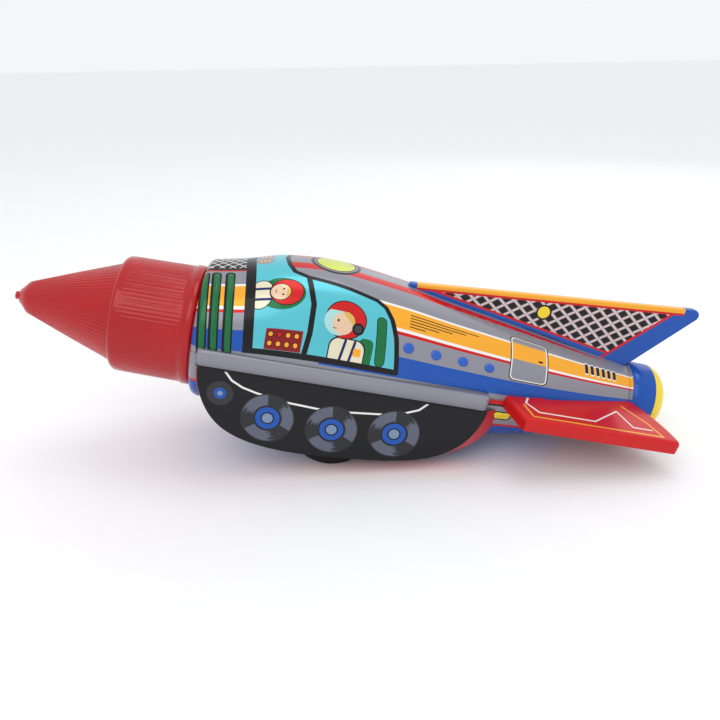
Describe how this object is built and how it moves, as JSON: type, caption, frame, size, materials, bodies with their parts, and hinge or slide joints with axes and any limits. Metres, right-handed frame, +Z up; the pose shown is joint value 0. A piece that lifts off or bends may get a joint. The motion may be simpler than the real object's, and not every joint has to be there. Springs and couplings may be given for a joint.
{
  "type": "tin space rocket",
  "caption": "Friction-powered tin toy space rocket with a translucent red sparking nose, side track pods, swept wings and a tall tail fin",
  "frame": {"origin": "centre of the bounding box at floor level, as the rocket stands on its driving wheels and tail", "axes": "+Z up, +Y towards the rocket's right side, -X forwards to the nose"},
  "size_m": [0.3484, 0.1026, 0.1056],
  "materials": {
    "clear_red": "translucent red moulded plastic",
    "printed_hull": "lacquered litho print on tin",
    "printed_belly": "lacquered litho print on tin",
    "printed_track": "lacquered black litho print on tin",
    "printed_wing": "lacquered red litho print on tin",
    "printed_fin": "lacquered litho print on tin",
    "motor_steel": "bright pressed steel",
    "shaft_steel": "drawn bright steel wire",
    "gear_brass": "stamped brass",
    "flywheel_iron": "turned, lightly oiled",
    "wheel_rubber": "matt black rubber",
    "hub_plastic": "black moulded plastic",
    "spacer_plastic": "natural white plastic",
    "abrasive": "coarse bonded abrasive",
    "flint_grey": "dull grey ferrocerium"
  },
  "bodies": {
    "rocket": {"nose_cone": "clear_red", "nose_collar": "clear_red", "upper_shell": "printed_hull", "lower_shell": "printed_belly", "left_track_pod": "printed_track", "right_track_pod": "printed_track", "left_wing": "printed_wing", "right_wing": "printed_wing", "left_fin_half": "printed_fin", "right_fin_half": "printed_fin", "left_motor_plate": "motor_steel", "right_motor_plate": "motor_steel", "motor_pillars": "motor_steel", "flint_pin": "shaft_steel"},
    "drive_wheels": {"drive_axle": "shaft_steel", "left_wheel_hub": "hub_plastic", "right_wheel_hub": "hub_plastic", "left_tyre": "wheel_rubber", "right_tyre": "wheel_rubber", "axle_spacers": "spacer_plastic", "drive_gear": "gear_brass"},
    "counter_gears": {"counter_shaft": "shaft_steel", "counter_pinion": "gear_brass", "counter_gear": "gear_brass"},
    "flywheel_assembly": {"flywheel_shaft": "shaft_steel", "flywheel": "flywheel_iron", "flywheel_pinion": "gear_brass"},
    "spark_wheel_assembly": {"spark_shaft": "shaft_steel", "spark_pinion": "gear_brass", "spark_wheel": "abrasive"},
    "flint_lever": {"flint_arm": "motor_steel", "flint_holder": "gear_brass", "flint": "flint_grey"}
  },
  "joints": [
    {"name": "flywheel_spin", "type": "hinge", "parent": "rocket", "child": "flywheel_assembly", "pos_m": [-0.03803, 0, 0.05861], "axis": [0, 1, 0], "continuous": true},
    {"name": "drive_wheel_spin", "type": "hinge", "parent": "rocket", "child": "drive_wheels", "pos_m": [-0.02068, 0, 0.0215], "axis": [0, 1, 0], "continuous": true},
    {"name": "counter_gear_spin", "type": "hinge", "parent": "rocket", "child": "counter_gears", "pos_m": [-0.02833, 0, 0.03998], "axis": [0, 1, 0], "continuous": true},
    {"name": "spark_wheel_spin", "type": "hinge", "parent": "rocket", "child": "spark_wheel_assembly", "pos_m": [-0.04933, 0, 0.04016], "axis": [0, 1, 0], "continuous": true},
    {"name": "flint_lever_swing", "type": "hinge", "parent": "rocket", "child": "flint_lever", "pos_m": [-0.06577, 0, 0.04736], "axis": [0, -1, 0], "range_deg": [0, 6], "stiffness_Nm_per_rad": 0.002, "springref_deg": -11.46}
  ],
  "couplings": [
    {"joint": "drive_wheel_spin", "follows": "flywheel_spin", "ratio": 0.10417},
    {"joint": "counter_gear_spin", "follows": "flywheel_spin", "ratio": -0.3125},
    {"joint": "spark_wheel_spin", "follows": "flywheel_spin", "ratio": 1}
  ]
}
